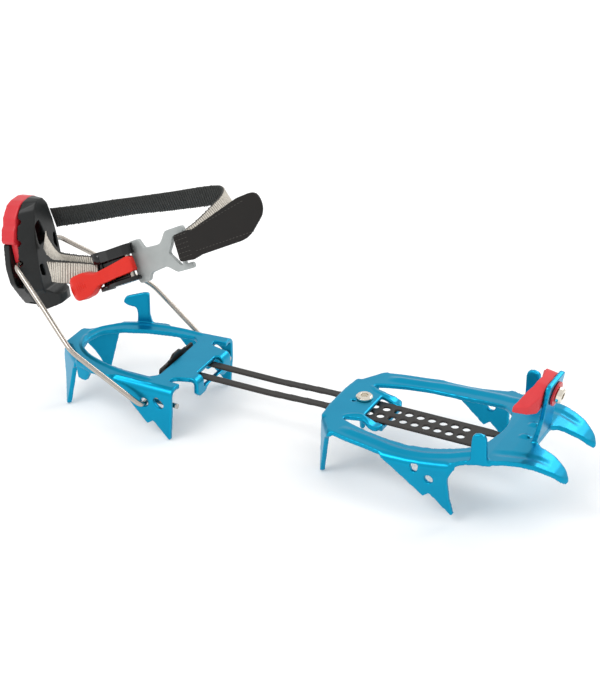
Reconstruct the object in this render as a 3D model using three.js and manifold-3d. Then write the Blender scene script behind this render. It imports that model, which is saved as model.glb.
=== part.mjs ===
// A step-in ice crampon: heel frame, toe frame, link bar, wire heel bail with its
// lever, toe stop and ankle strap. Millimetres. X runs from heel to toe, Y to the
// side, Z up from the spike tips. Inside the assembly X is measured from the front
// edge of the heel frame.
import * as THREE from 'three';
import { mergeVertices } from 'three/addons/utils/BufferGeometryUtils.js';
import Module from 'manifold-3d';

const wasm = await Module();
wasm.setup();

// Driving dimensions
const sheet = 3; // aluminium sheet of both frames
const heelTop = 36; // top face of the heel frame
const toeTop = 37.5; // top face of the toe frame, before it rises to the toe
const boxMiddle = 60.8; // middle of the whole crampon's length
const wireRadius = 1.65;
const bailPivot = { x: -18.3, z: 22.4 };
const leverPivot = { x: -119.7, z: 87.6 };
const leverLean = -7.5; // degrees, top leaning back
const barThick = 1.5;
const barTop = 34; // top of the perforated strip
const barTopRear = 32.6; // top of the two flats under the heel frame
const holePitch = 7.6;
const holeRow = 4.5; // each row of holes off the middle
const holeRadius = 2.5;
const holeColumns = 11;
const firstHole = 105.2;
const lockX = firstHole + holePitch; // the lock screw stands in the second column
const stopLean = 10.2; // degrees, toe stop leaning forward
const stopFoot = { x: 232, z: 45.5 };
const webThick = 1.6;
const webWide = 13.5;
const buckleCentre = [-39, -31, 108.6];
const buckleAlong = [0.875, 0, 0.485];
const buckleAcross = [-0.465, 0.278, 0.842];
const camPivot = { along: 14, out: 5.6 }; // in the buckle's own frame
const camOpen = 3; // degrees, the cam lever standing off the buckle
const heelSkew = 0.06; // sideways run of the heel frame for each unit along it
const notchPitch = 13; // wire notches of the lever
const leverDepth = 9.2;
const leverTaper = 0.4; // share of its width the lever loses from back to front
const rivetOff = 12.2;
const rivetHeight = -22;
const stopScrewHeight = 31;

const degrees = THREE.MathUtils.degToRad;

// ---- geometry helpers ----

function solidOf(geometry) {
  const bare = geometry.clone();
  bare.deleteAttribute('normal');
  bare.deleteAttribute('uv');
  const joined = mergeVertices(bare, 1e-4);
  const vertProperties = new Float32Array(joined.attributes.position.array);
  const triVerts = new Uint32Array(joined.index.array);
  return new wasm.Manifold(new wasm.Mesh({ numProp: 3, vertProperties, triVerts }));
}

function geometryOf(solid) {
  const mesh = solid.getMesh();
  const geometry = new THREE.BufferGeometry();
  geometry.setAttribute('position', new THREE.BufferAttribute(mesh.vertProperties, 3));
  geometry.setIndex(new THREE.BufferAttribute(mesh.triVerts, 1));
  geometry.computeVertexNormals();
  return geometry;
}

function mirrored(solid) {
  const geometry = geometryOf(solid);
  geometry.scale(1, -1, 1);
  const index = geometry.index.array;
  for (let i = 0; i < index.length; i += 3) {
    const second = index[i + 1];
    index[i + 1] = index[i + 2];
    index[i + 2] = second;
  }
  return solidOf(geometry);
}

function joined(solids) {
  return solids.reduce((whole, piece) => whole.add(piece));
}

// A closed outline whose corners [x, y, radius] are rounded off.
function roundedShape(corners) {
  const shape = new THREE.Shape();
  corners.forEach(([x, y, radius = 0], i) => {
    const here = new THREE.Vector2(x, y);
    const before = new THREE.Vector2(...corners[(i + corners.length - 1) % corners.length]);
    const after = new THREE.Vector2(...corners[(i + 1) % corners.length]);
    const back = before.clone().sub(here);
    const ahead = after.clone().sub(here);
    const turn = Math.abs(back.angleTo(ahead));
    const wanted = radius / Math.max(Math.tan(turn / 2), 0.05);
    const reach = Math.min(wanted, back.length() * 0.49, ahead.length() * 0.49);
    const start = here.clone().add(back.setLength(reach));
    const end = here.clone().add(ahead.setLength(reach));
    if (i === 0) shape.moveTo(start.x, start.y);
    else shape.lineTo(start.x, start.y);
    if (radius > 0) shape.quadraticCurveTo(x, y, end.x, end.y);
  });
  shape.closePath();
  return shape;
}

// The half outline on the +Y side, doubled to both sides.
function symmetric(half) {
  const other = half.filter(([, y]) => y !== 0).map(([x, y, radius]) => [x, -y, radius]);
  return roundedShape([...half, ...other.reverse()]);
}

// The same outline with its two coordinates exchanged.
function flipped(shape) {
  return new THREE.Shape(shape.getPoints(3).map((p) => new THREE.Vector2(p.y, p.x)));
}

function extrude(shape, depth, curveSegments = 3, steps = 1) {
  return new THREE.ExtrudeGeometry(shape, { depth, steps, curveSegments, bevelEnabled: false });
}

// An outline in x and y, standing from z0 to z1.
function slab(shape, z0, z1, curveSegments) {
  return solidOf(extrude(shape, z1 - z0, curveSegments).translate(0, 0, z0));
}

// An outline in x and z, reaching from y0 to y1.
function sideSlab(shape, y0, y1, curveSegments) {
  return solidOf(extrude(shape, y1 - y0, curveSegments).rotateX(Math.PI / 2).translate(0, y1, 0));
}

// An outline in y and z, reaching from x0 to x1, as a geometry.
function upright(shape, x0, x1, curveSegments) {
  const turn = new THREE.Matrix4().makeBasis(
    new THREE.Vector3(0, 1, 0),
    new THREE.Vector3(0, 0, 1),
    new THREE.Vector3(1, 0, 0),
  );
  return extrude(shape, x1 - x0, curveSegments).applyMatrix4(turn).translate(x0, 0, 0);
}

function frontSlab(shape, x0, x1, curveSegments) {
  return solidOf(upright(shape, x0, x1, curveSegments));
}

function box(x0, x1, y0, y1, z0, z1) {
  const geometry = new THREE.BoxGeometry(x1 - x0, y1 - y0, z1 - z0);
  return solidOf(geometry.translate((x0 + x1) / 2, (y0 + y1) / 2, (z0 + z1) / 2));
}

// A round bar along one axis, with the middle of its length at the given point.
function bar(axis, radius, length, x, y, z, sides = 12) {
  const geometry = new THREE.CylinderGeometry(radius, radius, length, sides);
  if (axis === 'x') geometry.rotateZ(Math.PI / 2);
  if (axis === 'z') geometry.rotateX(Math.PI / 2);
  return solidOf(geometry.translate(x, y, z));
}

// Moves every vertex of a geometry by a function of its position.
function bend(geometry, move) {
  const position = geometry.attributes.position;
  const point = new THREE.Vector3();
  for (let i = 0; i < position.count; i += 1) {
    point.fromBufferAttribute(position, i);
    move(point);
    position.setXYZ(i, point.x, point.y, point.z);
  }
  return geometry;
}

// A sheet edge folded down along the line from start to end, walked with the
// outside on the right. The profile runs over the fold radius and down, leaning
// outward by lean for each unit down. The side outline, in distance along the fold
// and height, trims it to its teeth.
function foldedPlate({ start, end, top, depth, lean = 0, outline, radius = 4.5, lift }) {
  const first = new THREE.Vector3(...start, 0);
  const last = new THREE.Vector3(...end, 0);
  const along = last.clone().sub(first).normalize();
  const up = new THREE.Vector3(0, 0, 1);
  const out = new THREE.Vector3().crossVectors(along, up);
  const foot = top - depth;
  const slant = lean * (depth - radius);
  const profile = new THREE.Shape();
  profile.moveTo(-radius - 5, top);
  profile.lineTo(-radius, top);
  profile.absarc(-radius, top - radius, radius, Math.PI / 2, 0, true);
  profile.lineTo(slant, foot);
  profile.lineTo(slant - sheet, foot);
  profile.lineTo(-sheet, top - radius);
  profile.absarc(-radius, top - radius, radius - sheet, 0, Math.PI / 2, false);
  profile.lineTo(-radius - 5, top - sheet);
  const sweep = extrude(profile, first.distanceTo(last), 3, lift ? 6 : 1);
  const back = along.clone().negate();
  sweep.applyMatrix4(new THREE.Matrix4().makeBasis(out, up, back).setPosition(last));
  if (lift) bend(sweep, lift);
  const trim = extrude(roundedShape(outline), 60).translate(0, 0, -30);
  trim.applyMatrix4(new THREE.Matrix4().makeBasis(along, up, out).setPosition(first));
  return solidOf(sweep).intersect(solidOf(trim));
}

// A flat band swept along 3-D points; across gives the direction of its width.
function ribbon(points, across, width, thick, steps) {
  const path = new THREE.CatmullRomCurve3(points.map((p) => new THREE.Vector3(...p)), false, 'centripetal');
  const widths = new THREE.CatmullRomCurve3(across.map((p) => new THREE.Vector3(...p)));
  const section = roundedShape([
    [-width / 2, -thick / 2],
    [width / 2, -thick / 2],
    [width / 2, thick / 2],
    [-width / 2, thick / 2],
  ]);
  return bend(extrude(section, 1, 1, steps), (point) => {
    const share = THREE.MathUtils.clamp(point.z, 0, 1);
    const tangent = path.getTangentAt(share);
    const wide = widths.getPoint(share).normalize();
    wide.addScaledVector(tangent, -wide.dot(tangent)).normalize();
    const normal = new THREE.Vector3().crossVectors(tangent, wide);
    const centre = path.getPointAt(share);
    centre.addScaledVector(wide, point.x).addScaledVector(normal, point.y);
    point.copy(centre);
  });
}

// ---- heel frame ----

function heelOpening() {
  return symmetric([
    [-15.5, 0],
    [-15.5, 24, 4],
    [-20, 29, 4],
    [-36, 28, 12],
    [-52, 25, 12],
    [-67, 19.5, 10],
    [-77.5, 12, 8],
    [-80.3, 0, 8],
  ]);
}

function heelPlate() {
  const outer = symmetric([
    [5, 0],
    [5, 21, 2],
    [-5, 24, 3],
    [-6.5, 30, 4],
    [-2, 35, 3],
    [1, 36.3, 1],
    [-40, 35.6, 4],
    [-44, 38.4, 2],
    [-58, 35.8, 8],
    [-72, 29.6, 2],
    [-75, 22, 1],
    [-84.6, 12, 1],
    [-91, 11.2, 2],
    [-91, 0],
  ]);
  return slab(outer, heelTop - sheet, heelTop);
}

function heelSidePlate() {
  const plate = foldedPlate({
    start: [1, 40.8],
    end: [-44, 38.6],
    top: heelTop,
    depth: 36,
    radius: 6,
    outline: [
      [0, 40],
      [0, 20],
      [1.4, 0],
      [2.6, 0.4, 0.6],
      [13.2, 11.2],
      [17.5, 8.2],
      [19, 9.6],
      [31, 22.4],
      [38, 30, 6],
      [45, 33],
      [45, 40],
    ],
  });
  const wireHole = bar('y', 2.9, 16, bailPivot.x, 39.5, bailPivot.z + 0.6, 14);
  const slotCorners = [
    [-12.8, 25.4, 2.4],
    [-9.4, 29.2, 2.4],
    [-3.6, 23.8, 2.4],
    [-6.8, 20, 2.4],
  ];
  const slot = sideSlab(roundedShape(slotCorners), 34, 46);
  return plate.subtract(wireHole).subtract(slot);
}

function heelSpike() {
  return foldedPlate({
    start: [-73.5, 29.4],
    end: [-91.2, 11.6],
    top: heelTop,
    depth: 36,
    lean: 0.12,
    outline: [
      [-1, 40],
      [-1, 31],
      [2, 29.4, 3],
      [8.2, 0.4, 0.5],
      [10.4, 0, 0.5],
      [14.6, 11],
      [18.6, 18.4, 10],
      [25, 27.6, 4],
      [26, 40],
    ],
  });
}

// The rail's folded edge behind the side plate, with a lobe on one side only.
function heelRailLip(lobe) {
  const low = lobe ? 24 : 32.4;
  return foldedPlate({
    start: [-44, 38.4],
    end: [-72, 29.8],
    top: heelTop,
    depth: 14,
    outline: [
      [0, 40],
      [0, 32.4],
      [17, 31.8, 4],
      [21, low, 2.5],
      [28, low, 2.5],
      [29.2, 32],
      [29.2, 40],
    ],
  });
}

// The flange folded down in front of the crossbar.
function heelFlange() {
  const halfWidth = 21.5;
  const foot = heelTop - 13;
  return foldedPlate({
    start: [9.5, -halfWidth],
    end: [9.5, halfWidth],
    top: heelTop,
    depth: 14,
    outline: [
      [0, 40],
      [0, foot + 3, 2],
      [3, foot, 2],
      [10, foot, 3],
      [14, foot + 3, 3],
      [29, foot + 3, 3],
      [33, foot, 3],
      [40, foot, 2],
      [43, foot + 3, 2],
      [43, 40],
    ],
  });
}

// The hook that stands on one rail only, with its mouth open to the rear.
function heelHook() {
  const hook = roundedShape([
    [-3.6, 33],
    [-3.1, 42, 3],
    [-3.6, 47.5, 4],
    [-8.1, 48.2, 2],
    [-12.5, 50.5, 3],
    [-10.5, 54.8, 4],
    [1.9, 58, 4],
    [4.8, 57.6, 2.4],
    [4.8, 42, 3],
    [7, 33],
  ]);
  const geometry = extrude(hook, sheet);
  geometry.rotateX(Math.PI / 2);
  geometry.rotateZ(Math.atan2(10.4, 29));
  return solidOf(geometry.translate(-60.5, 35, 0));
}

// The whole frame runs slightly to one side towards its rear. The link bar passes
// over the flange through the gap left in the crossbar's front edge.
function heelFrame() {
  const oneSide = heelSidePlate().add(heelSpike());
  const lips = heelRailLip(false).add(mirrored(heelRailLip(true)));
  const frame = joined([heelPlate(), oneSide, mirrored(oneSide), lips, heelFlange(), heelHook()]);
  const cut = frame.subtract(slab(heelOpening(), heelTop - 10, heelTop + 20));
  const skewed = bend(geometryOf(cut), (point) => {
    point.y += heelSkew * (point.x + 5);
  });
  return solidOf(skewed).subtract(box(4.2, 14, -12.4, 12.4, 27.2, heelTop + 2));
}

// ---- toe frame ----

// Height of the toe frame's top face along its length: level, then up to the toe
// crossbar, then down over the two front points.
const toeRise = [
  [90, 37.5],
  [160, 37.5],
  [174, 38.6],
  [188, 40.8],
  [200, 43.2],
  [212, 45.6],
  [223, 46.8],
  [232, 46.8],
  [240, 45.4],
  [246, 43.4],
  [250.5, 41],
  [254.5, 38],
  [258.4, 34],
];

function toeHeight(x) {
  const next = Math.max(1, toeRise.findIndex(([station]) => station > x));
  const [x0, z0] = toeRise[next - 1];
  const [x1, z1] = toeRise[next];
  return z0 + ((z1 - z0) * (x - x0)) / (x1 - x0);
}

// The line one sheet thickness below the toe frame's top face.
function toeUnderside() {
  return toeRise.map(([x, z], i) => {
    const [x0, z0] = toeRise[Math.max(i - 1, 0)];
    const [x1, z1] = toeRise[Math.min(i + 1, toeRise.length - 1)];
    const length = Math.hypot(x1 - x0, z1 - z0);
    return [x + (sheet * (z1 - z0)) / length, z - (sheet * (x1 - x0)) / length];
  });
}

function toePlate() {
  const side = roundedShape([...toeRise, ...toeUnderside().reverse()]);
  const outer = symmetric([
    [96.4, 0],
    [96.4, 12, 8],
    [97.9, 25.8, 2],
    [101.4, 25.3, 1],
    [109.2, 39.6, 3],
    [123, 43.2, 20],
    [137, 45.6, 20],
    [147, 48, 6],
    [152, 45, 2],
    [189, 44.6, 3],
    [193, 48.6, 2],
    [200, 44, 8],
    [214, 42.6, 20],
    [232, 37.4, 20],
    [246, 32.8, 16],
    [254.6, 27.6, 6],
    [257.6, 22.4, 2],
    [253.8, 18, 5],
    [245, 14.6, 10],
    [236, 13.2, 6],
    [232.6, 10, 3],
    [232.6, 0],
  ]);
  const opening = symmetric([
    [118.5, 0],
    [118.5, 18.4, 0],
    [116, 19.2, 2],
    [111.6, 20.2, 1.6],
    [112.4, 23.4, 1.8],
    [120, 26.4, 10],
    [130, 29.4, 20],
    [144, 32.2, 20],
    [160, 33.2, 30],
    [178, 31.8, 30],
    [196, 27.6, 14],
    [204.6, 19, 12],
    [208.6, 0, 30],
  ]);
  return sideSlab(side, -60, 60).intersect(slab(outer, 0, 60)).subtract(slab(opening, 0, 80));
}

// The tongue with its two ears, dipping to a bridge that carries the link bar.
function toeTongue() {
  const top = [
    [117, toeTop],
    [120.6, toeTop],
    [125, 35.8],
    [129.4, 33.8],
    [134.2, 33.4],
  ];
  const under = top.map(([x, z]) => [x, z - sheet]);
  const plan = symmetric([
    [117.4, 0],
    [117.4, 18.6, 0],
    [122.4, 17.6, 5],
    [127, 19.6, 2.5],
    [132, 18.8, 2.5],
    [133.8, 14, 2],
    [133.8, 0],
  ]);
  const dip = sideSlab(roundedShape([...top, ...under.reverse()]), -22, 22).intersect(slab(plan, 0, 60));
  const window = box(121.4, 129.4, -12.7, 12.7, 20, 60);
  const bridgeTop = barTop - barThick - 0.5;
  const clearance = box(121.4, 140, -12.3, 12.3, bridgeTop, 60);
  const bridge = box(129.4, 133.8, -14.5, 14.5, bridgeTop - sheet, bridgeTop);
  return dip.subtract(window).subtract(clearance).add(bridge);
}

function toeSidePlate() {
  const front = 199;
  const plate = foldedPlate({
    start: [front, 49.8],
    end: [146.5, 49.8],
    top: toeTop,
    depth: 37.5,
    lean: -0.12,
    lift: (point) => {
      const share = THREE.MathUtils.smoothstep(point.z, 20, 32);
      point.z += (toeHeight(point.x) - toeTop) * share;
    },
    outline: [
      [146, 60],
      [146, 36.5],
      [153.5, 31.4, 6],
      [176, 14],
      [180, 17.2],
      [193.4, 5],
      [195, 5.4, 0.5],
      [192.6, 16, 20],
      [191.4, 30, 8],
      [194.5, 36.4, 5],
      [200, 39.6],
      [200, 60],
    ].map(([x, z, radius]) => [front - x, z, radius]),
  });
  const rounded = roundedShape([
    [167.6, 35.4, 1.2],
    [173.6, 35.8, 1.2],
    [172.2, 30.4, 1.6],
    [169, 30, 1.6],
  ]);
  const carve = slab(roundedShape([
    [189, 60],
    [190, 51, 2],
    [194.6, 47.6, 3],
    [200, 44, 1],
    [200, 60],
  ]), 0, 80);
  const fill = slab(roundedShape([
    [140, 30],
    [140, 44],
    [147.5, 48.6, 2],
    [152, 52],
    [204, 52],
    [204, 30],
  ]), 0, 80);
  return plate
    .intersect(fill)
    .subtract(carve)
    .subtract(sideSlab(rounded, 43, 56))
    .subtract(bar('y', 2.8, 16, 180, 47, 27.4, 14));
}

function toeRearSpike() {
  return foldedPlate({
    start: [110.6, 43.6],
    end: [97.6, 25],
    top: toeTop,
    depth: 37.5,
    lean: 0.03,
    outline: [
      [1.2, 41],
      [1.2, 34],
      [6.4, 30.8, 6],
      [17.4, 0.6, 0.5],
      [19.6, 0, 0.5],
      [21.4, 26, 6],
      [22.4, 41],
    ],
    radius: 4,
  });
}

function toeRailTab() {
  const tab = roundedShape([
    [201.4, 41.5],
    [203.8, 45.5, 1.5],
    [204.2, 62.9, 4.4],
    [213, 62.9, 4.4],
    [213.8, 46.4, 1.5],
    [216, 42.5],
  ]);
  const geometry = extrude(tab, sheet).rotateX(Math.PI / 2).translate(-209, 0, 0);
  return solidOf(geometry.rotateZ(degrees(-5)).translate(209, 43.4, 0));
}

function stopPlacement() {
  const turn = new THREE.Matrix4().makeRotationY(degrees(stopLean));
  return turn.setPosition(stopFoot.x, 0, stopFoot.z);
}

// The bracket that stands up from the crossbar and carries the toe stop.
function stopBracket() {
  const half = [
    [-1.2, 0],
    [-1.2, 12.8, 1],
    [16, 9.4, 10],
    [30, 11.6, 10],
    [40.6, 12.8, 3],
    [40.6, 0],
  ];
  const outline = flipped(symmetric(half));
  const plate = solidOf(upright(outline, -sheet, 0).applyMatrix4(stopPlacement()));
  const bore = new THREE.CylinderGeometry(2.7, 2.7, 12, 14).rotateZ(Math.PI / 2).translate(0, 0, 31);
  const above = box(220, 260, -20, 20, toeHeight(230) - sheet, 120);
  return plate.subtract(solidOf(bore.applyMatrix4(stopPlacement()))).intersect(above);
}

function toeFrame() {
  const oneSide = joined([toeSidePlate(), toeRearSpike(), toeRailTab()]);
  const frame = joined([toePlate(), toeTongue(), oneSide, mirrored(oneSide), stopBracket()]);
  const lockHole = bar('z', 2.7, 20, lockX, holeRow, toeTop);
  const smallHole = bar('z', 1.3, 20, 108, -0.6, toeTop, 10);
  return frame.subtract(lockHole).subtract(smallHole);
}

// ---- link bar and its lock ----

function linkBar() {
  const flats = roundedShape([
    [-18, 11],
    [90, 10.6, 2],
    [98, 11.5, 3],
    [196, 11.5, 2],
    [206, 9, 1.5],
    [206, 6, 1.2],
    [192, 3.4, 3],
    [188, 0, 4],
    [192, -3.4, 3],
    [206, -6, 1.2],
    [206, -9, 1.5],
    [196, -11.5, 2],
    [98, -11.5, 3],
    [90, -10.6, 2],
    [-18, -11],
  ]);
  const slot = roundedShape([
    [-11, 5, 2],
    [93, 5, 2],
    [97, 0, 2],
    [93, -5, 2],
    [-11, -5, 2],
    [-14, 0, 2],
  ]);
  const side = roundedShape([
    [-18.6, 38],
    [-17.1, 38],
    [-17.1, barTopRear + 0.8],
    [-16.4, barTopRear],
    [52, barTopRear],
    [88, barTop],
    [207, barTop],
    [207, barTop - barThick],
    [88, barTop - barThick],
    [52, barTopRear - barThick],
    [-17, barTopRear - barThick],
    [-18.6, barTopRear],
  ]);
  const sweep = sideSlab(side, -30, 30);
  const strip = slab(flats, 20, 60).subtract(slab(slot, 20, 60));
  const holes = [];
  for (let column = 0; column < holeColumns; column += 1) {
    for (const row of [-holeRow, holeRow]) {
      holes.push(bar('z', holeRadius, 10, firstHole + column * holePitch, row, barTop, 12));
    }
  }
  return sweep.intersect(strip).add(crossTail()).subtract(joined(holes));
}

// The cross tail that catches behind the heel frame's crossbar.
function crossTail() {
  const outline = roundedShape([
    [-21, 31.6, 0.6],
    [21, 31.6, 0.6],
    [20.4, 36.6, 1.5],
    [8, 36.8, 3],
    [4, 39.6, 2],
    [-4, 39.6, 2],
    [-8, 36.8, 3],
    [-20.4, 36.6, 1.5],
  ]);
  return frontSlab(outline, -18.6, -17.1);
}

// A hex-socket screw head with its shank, along Z, the underside of its head at zero.
function socketScrew(headRadius, headHeight, shankRadius, length) {
  const profile = [
    [0, -length],
    [shankRadius, -length],
    [shankRadius, 0],
    [headRadius, 0],
    [headRadius, headHeight * 0.6],
    [headRadius * 0.82, headHeight],
    [0, headHeight],
  ];
  const body = new THREE.LatheGeometry(profile.map(([r, z]) => new THREE.Vector2(r, z)), 14);
  const socket = new THREE.CylinderGeometry(headRadius * 0.5, headRadius * 0.5, headHeight, 6);
  const cut = solidOf(body.rotateX(Math.PI / 2));
  return cut.subtract(solidOf(socket.rotateX(Math.PI / 2).translate(0, 0, headHeight * 0.8)));
}

function washer(outer, inner, thick) {
  const ring = new THREE.Shape().absarc(0, 0, outer, 0, Math.PI * 2);
  ring.holes.push(new THREE.Path().absarc(0, 0, inner, 0, Math.PI * 2, true));
  return extrude(ring, thick, 12);
}

function hexNut(across, inner, thick) {
  const corners = [];
  for (let side = 0; side < 6; side += 1) {
    const angle = (side * Math.PI) / 3;
    corners.push(new THREE.Vector2(Math.cos(angle), Math.sin(angle)).multiplyScalar(across / 1.732));
  }
  const nut = new THREE.Shape(corners);
  nut.holes.push(new THREE.Path().absarc(0, 0, inner, 0, Math.PI * 2, true));
  return extrude(nut, thick, 14);
}

// ---- toe stop ----

// The saddle against the boot's toe, in the frame of the bracket behind it.
function toeBumper() {
  const plan = symmetric([
    [-3.4, 0],
    [-3.4, 15, 3],
    [-7.4, 21, 4],
    [-16.8, 26, 1.5],
    [-14.6, 19.6, 5],
    [-10.6, 11, 8],
    [-9.6, 0, 10],
  ]);
  const front = flipped(symmetric([
    [39.4, 0],
    [39, 8, 6],
    [35.6, 14.6, 8],
    [29.4, 20.6, 8],
    [26.6, 26.6],
    [24, 26.6],
    [22.8, 16, 8],
    [24.6, 0, 12],
  ]));
  const bore = bar('x', 2.6, 20, -5, 0, stopScrewHeight);
  return slab(plan, 10, 50).intersect(frontSlab(front, -30, 0)).subtract(bore).subtract(nutPocket());
}

function nutPocket() {
  const pocket = new THREE.CylinderGeometry(5.3, 5.3, 10, 6).rotateZ(Math.PI / 2);
  return solidOf(pocket.translate(-12, 0, stopScrewHeight));
}

// ---- wire bail ----

// One bent wire, from its inner end on one side, round the lever to the other.
function bailWire() {
  const half = [
    [2.4, 34.2, 22.2],
    [-6, 34.2, 22.4],
    [-14.5, 34.3, bailPivot.z],
    [-17.9, 35.4, bailPivot.z],
    [bailPivot.x, 38, bailPivot.z],
    [bailPivot.x, 41.5, bailPivot.z + 0.1],
    [-19.4, 43.6, 23.2],
    [-24, 44.9, 26.3],
    [-42, 47.6, 38.3],
    [-58, 49.8, 49],
    [-64, 50, 53],
    [-70, 47.9, 56.9],
    [-92, 37.6, 71],
    [-112.5, 28, 83.6],
    [-117.6, 25.4, 86.6],
    [leverPivot.x, 21.5, leverPivot.z],
    [leverPivot.x, 14, leverPivot.z],
  ];
  const other = half.map(([x, y, z]) => [x, -y, z]).reverse();
  const points = [...half, ...other].map((p) => new THREE.Vector3(...p));
  const path = new THREE.CatmullRomCurve3(points, false, 'centripetal');
  const section = new THREE.Shape(ringOf(wireRadius, 8));
  return new THREE.ExtrudeGeometry(section, { steps: 76, extrudePath: path });
}

function ringOf(radius, sides) {
  const ring = [];
  for (let side = 0; side < sides; side += 1) {
    const angle = (side * 2 * Math.PI) / sides;
    ring.push(new THREE.Vector2(Math.cos(angle), Math.sin(angle)).multiplyScalar(radius));
  }
  return ring;
}

// ---- heel lever, in its own frame: the wire runs along Y through the origin ----

// An outline in y and z whose sides draw in from the back face to the front face.
function tapered(outline, x0, x1) {
  const slanted = bend(upright(outline, x0, x1), (point) => {
    point.y *= 1 - (leverTaper * (point.x - x0)) / leverDepth;
  });
  return solidOf(slanted);
}

// The shelf that stands out of the body's lower end for the boot to press on.
function leverShelf() {
  const plan = symmetric([
    [3, 0],
    [3, 13, 2],
    [9, 10.4, 4],
    [17, 5.6, 3],
    [18.4, 0, 4],
  ]);
  const side = roundedShape([
    [2, -15],
    [9, -21.4, 4],
    [14, -25, 4],
    [18.6, -25.6, 2],
    [18, -32.4, 3],
    [8, -35.6, 4],
    [2, -36],
  ]);
  return slab(plan, -40, -10).intersect(sideSlab(side, -20, 20));
}

function leverBody() {
  const outline = flipped(symmetric([
    [37.4, 0],
    [36.6, 6, 5],
    [31.6, 12.6, 6],
    [25, 15.2, 8],
    [20, 17.2, 10],
    [12, 19.2, 10],
    [2, 20.8, 12],
    [-8, 21.8, 10],
    [-20, 20.4, 6],
    [-27, 14.4, 5],
    [-31, 11.6, 5],
    [-36, 9.6, 4],
    [-37.4, 0, 6],
  ]));
  const slot = roundedShape([
    [-9.6, 22.6, 3],
    [-4.6, 25.4, 3],
    [0.6, 9.6, 3],
    [-8.4, 8, 3],
  ]);
  const farCut = roundedShape([
    [8.2, 11, 1.6],
    [10.6, 10, 1.6],
    [11, -3, 2],
    [7.4, 4, 2],
  ]);
  const lowCut = roundedShape([
    [-12, -3, 2],
    [-8, -4.6, 2],
    [-6.6, -13.6, 2],
    [-11, -11, 2],
  ]);
  let body = tapered(outline, 0.3, 0.3 + leverDepth).add(leverShelf());
  for (const cut of [slot, farCut, lowCut]) {
    body = body.subtract(frontSlab(cut, -1, 20));
  }
  for (const step of [-1, 0, 1, 2]) {
    body = body.subtract(bar('y', wireRadius + 0.45, 60, 0, 0, step * notchPitch, 12));
  }
  for (const side of [-1, 1]) {
    body = body.subtract(bar('x', 1.7, 10, 0, side * rivetOff, rivetHeight, 10));
  }
  return body;
}

// The slider behind the body: its groove holds the wire in one of the notches.
function heightAdjuster() {
  const cap = flipped(symmetric([
    [12.6, 0],
    [12.6, 20.4, 1],
    [15, 21.4, 2],
    [22, 19.2, 3],
    [24.5, 16.6, 3],
    [28.5, 16, 4],
    [35, 9.4, 3],
    [36.6, 4, 2],
    [36.6, 0],
  ]));
  const tongue = flipped(symmetric([
    [13, 0],
    [13, 18.6, 1],
    [0, 17.6, 8],
    [-13, 15, 5],
    [-17, 9, 4],
    [-29, 7.4, 4],
    [-30, 0, 4],
  ]));
  const solid = frontSlab(cap, -10, -0.3).add(frontSlab(tongue, -5, -0.3));
  const travel = box(-wireRadius - 0.5, 1, -30, 30, -10.6, wireRadius + 0.5);
  return solid.subtract(travel);
}

function leverCover() {
  const outline = flipped(symmetric([
    [12.2, 0],
    [12.2, 20.6, 1.5],
    [-3, 22.8, 12],
    [-15, 21, 10],
    [-26, 14.4, 6],
    [-34, 9, 5],
    [-37.4, 0, 8],
  ]));
  const skin = frontSlab(outline, -9.6, -5.4);
  const foot = frontSlab(outline, -5.5, 0).intersect(box(-6, 1, -30, 30, -50, -33));
  const sides = box(-5.5, -0.1, 9.8, 30, -32, -18).intersect(frontSlab(outline, -6, 0));
  let cover = skin.add(foot).add(sides).add(mirrored(sides));
  for (const side of [-1, 1]) {
    cover = cover.subtract(bar('x', 1.7, 30, 0, side * rivetOff, rivetHeight, 10));
  }
  return cover;
}

function leverRivet(side) {
  const profile = [
    [0, -4.6],
    [1.3, -4.6],
    [1.3, 9.8],
    [2.6, 9.8],
    [2.4, 10.8],
    [1.4, 11.4],
    [0, 11.6],
  ];
  const rivet = new THREE.LatheGeometry(profile.map(([r, z]) => new THREE.Vector2(r, z)), 14);
  return rivet.rotateZ(Math.PI / 2).translate(0, side * rivetOff, rivetHeight);
}

// ---- ankle strap ----

function strapFarRun() {
  const points = [
    [-120.4, 21, 102.3],
    [-95, 24.4, 110],
    [-72, 27, 117.6],
    [-35, 29.6, 129],
    [-6, 30.6, 138.6],
    [6, 27.4, 142],
    [11.6, 18, 142],
    [11.6, 2, 139.6],
    [9.8, -14, 136.2],
    [6.4, -24, 133.2],
  ];
  const across = [
    [-0.3, -0.1, 0.95],
    [-0.3, -0.15, 0.94],
    [-0.3, -0.25, 0.92],
    [-0.45, -0.3, 0.84],
    [-0.62, 0, 0.78],
    [-0.6, 0.1, 0.79],
    [-0.5, 0.25, 0.83],
  ];
  return ribbon(points, across, webWide, webThick, 44);
}

// The short run from the lever's slot to the cam buckle.
function strapHeelRun() {
  const points = [
    [-107.6, -6.6, 101],
    [-101, -13, 100.4],
    [-88, -20.6, 100],
    [-70, -26, 101.6],
    [-53.4, -29.6, 104],
  ];
  const across = [
    [-0.15, 0.35, 0.92],
    [0.2, -0.45, 0.87],
    [0.2, -0.55, 0.8],
    [-0.465, 0.278, 0.842],
  ];
  return ribbon(points, across, webWide, webThick, 20);
}

// The folded-back tail beside it, a flattened loop closed at both ends.
function strapTailLoop() {
  const outer = roundedShape([
    [-49.4, 1.4, 2],
    [-47.4, 7.4, 3],
    [-39, 8.4, 8],
    [-30, 5.3, 8],
    [-13.2, 4.9, 1],
    [-13.2, 1, 1],
  ]);
  const inner = roundedShape([
    [-47.4, 2.9, 1.4],
    [-46, 6, 2],
    [-39, 6.9, 6],
    [-30, 3.8, 6],
    [-15, 3.4],
    [-15, 2.5],
  ]);
  const half = webWide / 2;
  const loop = geometryOf(slab(outer, -half, half).subtract(slab(inner, -20, 20)));
  return bend(loop.rotateX(Math.PI / 2), (point) => {
    point.y += (point.x + 13) * -0.34 - 1;
  });
}

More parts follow.
